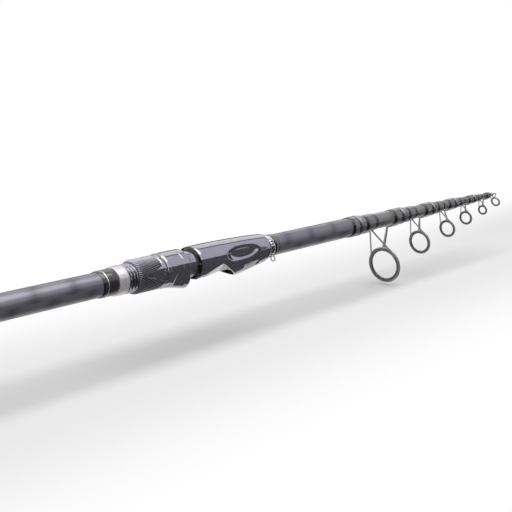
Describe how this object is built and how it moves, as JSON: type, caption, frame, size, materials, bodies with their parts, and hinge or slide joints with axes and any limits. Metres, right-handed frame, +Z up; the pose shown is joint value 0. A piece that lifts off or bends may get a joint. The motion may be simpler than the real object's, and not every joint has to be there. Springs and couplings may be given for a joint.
{
  "type": "telescopic fishing rod",
  "caption": "Closed telescopic carbon fishing rod with threaded reel seat, moving hood and lock nut, line guides on sliding sections, tip guide and screw-out butt cap.",
  "frame": {"origin": "centre of the butt cap's flat end face", "axes": "+X along the rod from butt to tip, +Z up, guides and reel foot hang below towards -Z"},
  "size_m": [0.6941, 0.0304, 0.0656],
  "materials": {
    "carbon": "satin carbon fibre composite",
    "lacquered_winding": "thread under gloss lacquer",
    "satin_ring": "satin",
    "gunmetal_steel": "dark polished stainless wire",
    "ceramic": "polished dark ceramic",
    "seat_plastic": "gloss gunmetal",
    "nut_plastic": "satin grey",
    "black_lip": "gloss black",
    "chrome": "polished",
    "pale_ring": "satin, slightly pink",
    "silver_trim": "metallic thread",
    "cushion_rubber": "matte",
    "arbor_plastic": "matte",
    "cap_plastic": "matte black"
  },
  "bodies": {
    "butt": {"butt_blank": "carbon", "butt_insert": "cap_plastic", "rear_winding": "lacquered_winding", "trim_line": "silver_trim", "rear_ring": "pale_ring", "seat_arbors": "arbor_plastic", "reel_seat": "seat_plastic", "lip_ring": "black_lip", "front_ring": "chrome", "front_winding": "lacquered_winding", "hook_keeper": "gunmetal_steel", "mouth_winding": "lacquered_winding", "mouth_ring_1": "satin_ring"},
    "section_2": {"blank_2": "carbon", "windings_2": "lacquered_winding", "guide_frame_2": "gunmetal_steel", "guide_insert_2": "ceramic", "mouth_ring_2": "satin_ring"},
    "section_3": {"blank_3": "carbon", "windings_3": "lacquered_winding", "guide_frame_3": "gunmetal_steel", "guide_insert_3": "ceramic", "mouth_ring_3": "satin_ring"},
    "section_4": {"blank_4": "carbon", "windings_4": "lacquered_winding", "guide_frame_4": "gunmetal_steel", "guide_insert_4": "ceramic", "mouth_ring_4": "satin_ring"},
    "section_5": {"blank_5": "carbon", "windings_5": "lacquered_winding", "guide_frame_5": "gunmetal_steel", "guide_insert_5": "ceramic", "mouth_ring_5": "satin_ring"},
    "section_6": {"blank_6": "carbon", "windings_6": "lacquered_winding", "guide_frame_6": "gunmetal_steel", "guide_insert_6": "ceramic"},
    "tip_section": {"tip_blank": "carbon", "tip_frame": "gunmetal_steel", "tip_insert": "ceramic"},
    "hood": {"moving_hood": "seat_plastic"},
    "nut": {"lock_nut": "nut_plastic"},
    "cushion": {"cap_cushion": "cushion_rubber"},
    "cap": {"butt_cap": "cap_plastic"}
  },
  "joints": [
    {"name": "section_2_slide", "type": "slide", "parent": "butt", "child": "section_2", "axis": [1, 0, 0], "range_m": [0, 0.3728]},
    {"name": "section_3_slide", "type": "slide", "parent": "section_2", "child": "section_3", "axis": [1, 0, 0], "range_m": [0, 0.4461]},
    {"name": "section_4_slide", "type": "slide", "parent": "section_3", "child": "section_4", "axis": [1, 0, 0], "range_m": [0, 0.503]},
    {"name": "section_5_slide", "type": "slide", "parent": "section_4", "child": "section_5", "axis": [1, 0, 0], "range_m": [0, 0.5513]},
    {"name": "section_6_slide", "type": "slide", "parent": "section_5", "child": "section_6", "axis": [1, 0, 0], "range_m": [0, 0.5949]},
    {"name": "tip_section_slide", "type": "slide", "parent": "section_6", "child": "tip_section", "axis": [1, 0, 0], "range_m": [0, 0.6274]},
    {"name": "hood_slide", "type": "slide", "parent": "butt", "child": "hood", "axis": [1, 0, 0], "range_m": [-0.00652, 0.00652]},
    {"name": "nut_turn", "type": "hinge", "parent": "hood", "child": "nut", "pos_m": [0.2214, 0, 0], "axis": [1, 0, 0], "range_deg": [-936, 936]},
    {"name": "cushion_slide", "type": "slide", "parent": "butt", "child": "cushion", "axis": [-1, 0, 0], "range_m": [0, 0.01052]},
    {"name": "cap_turn", "type": "hinge", "parent": "cushion", "child": "cap", "pos_m": [0.006, 0, 0], "axis": [-1, 0, 0], "range_deg": [0, 1890]}
  ],
  "couplings": [
    {"joint": "hood_slide", "follows": "nut_turn", "m_per_rad": 0.00039789},
    {"joint": "cushion_slide", "follows": "cap_turn", "m_per_rad": 0.00031831}
  ]
}
